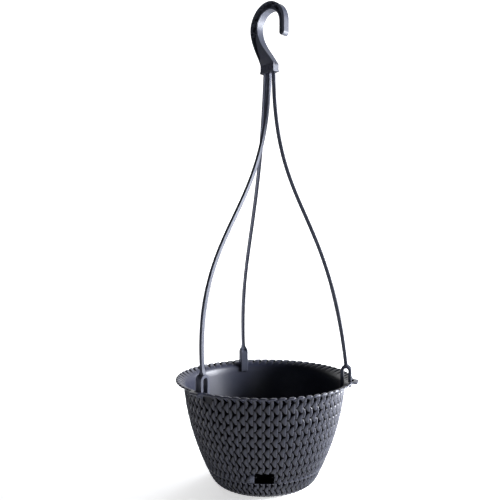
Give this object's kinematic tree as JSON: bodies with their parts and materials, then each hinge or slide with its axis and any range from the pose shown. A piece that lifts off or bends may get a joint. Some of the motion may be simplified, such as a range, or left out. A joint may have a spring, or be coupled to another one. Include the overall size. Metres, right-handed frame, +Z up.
{
  "type": "hanging basket",
  "caption": "Round woven-look plastic planter bowl with a push-fit water saucer, a lift-out soil grate, and stiff moulded strands clipped under the rim and gathered in a hook.",
  "frame": {"origin": "centre of the saucer's underside, where the basket stands", "axes": "+Z up along the basket's axis to the hook, -Y towards the side with the water window"},
  "size_m": [0.296, 0.2938, 0.787],
  "materials": {
    "bowl_weave": "moulded woven texture, satin",
    "saucer_weave": "moulded woven texture, satin",
    "grate_plastic": "moulded, matt",
    "hook_plastic": "moulded, fine spark-eroded grain",
    "strand_plastic": "moulded, satin"
  },
  "bodies": {
    "saucer": {"saucer": "saucer_weave"},
    "bowl": {"bowl": "bowl_weave"},
    "grate": {"soil_grate": "grate_plastic"},
    "hanger": {"hook": "hook_plastic", "strand_front_left": "strand_plastic", "strand_right": "strand_plastic", "strand_back": "strand_plastic"}
  },
  "joints": [
    {"name": "bowl_lift", "type": "slide", "parent": "saucer", "child": "bowl", "axis": [0, 0, 1], "range_m": [0, 0.045]},
    {"name": "grate_lift", "type": "slide", "parent": "bowl", "child": "grate", "axis": [0, 0, 1], "range_m": [0, 0.16]},
    {"name": "hanger_lift", "type": "slide", "parent": "bowl", "child": "hanger", "axis": [0, 0, 1], "range_m": [0, 0.05]}
  ]
}
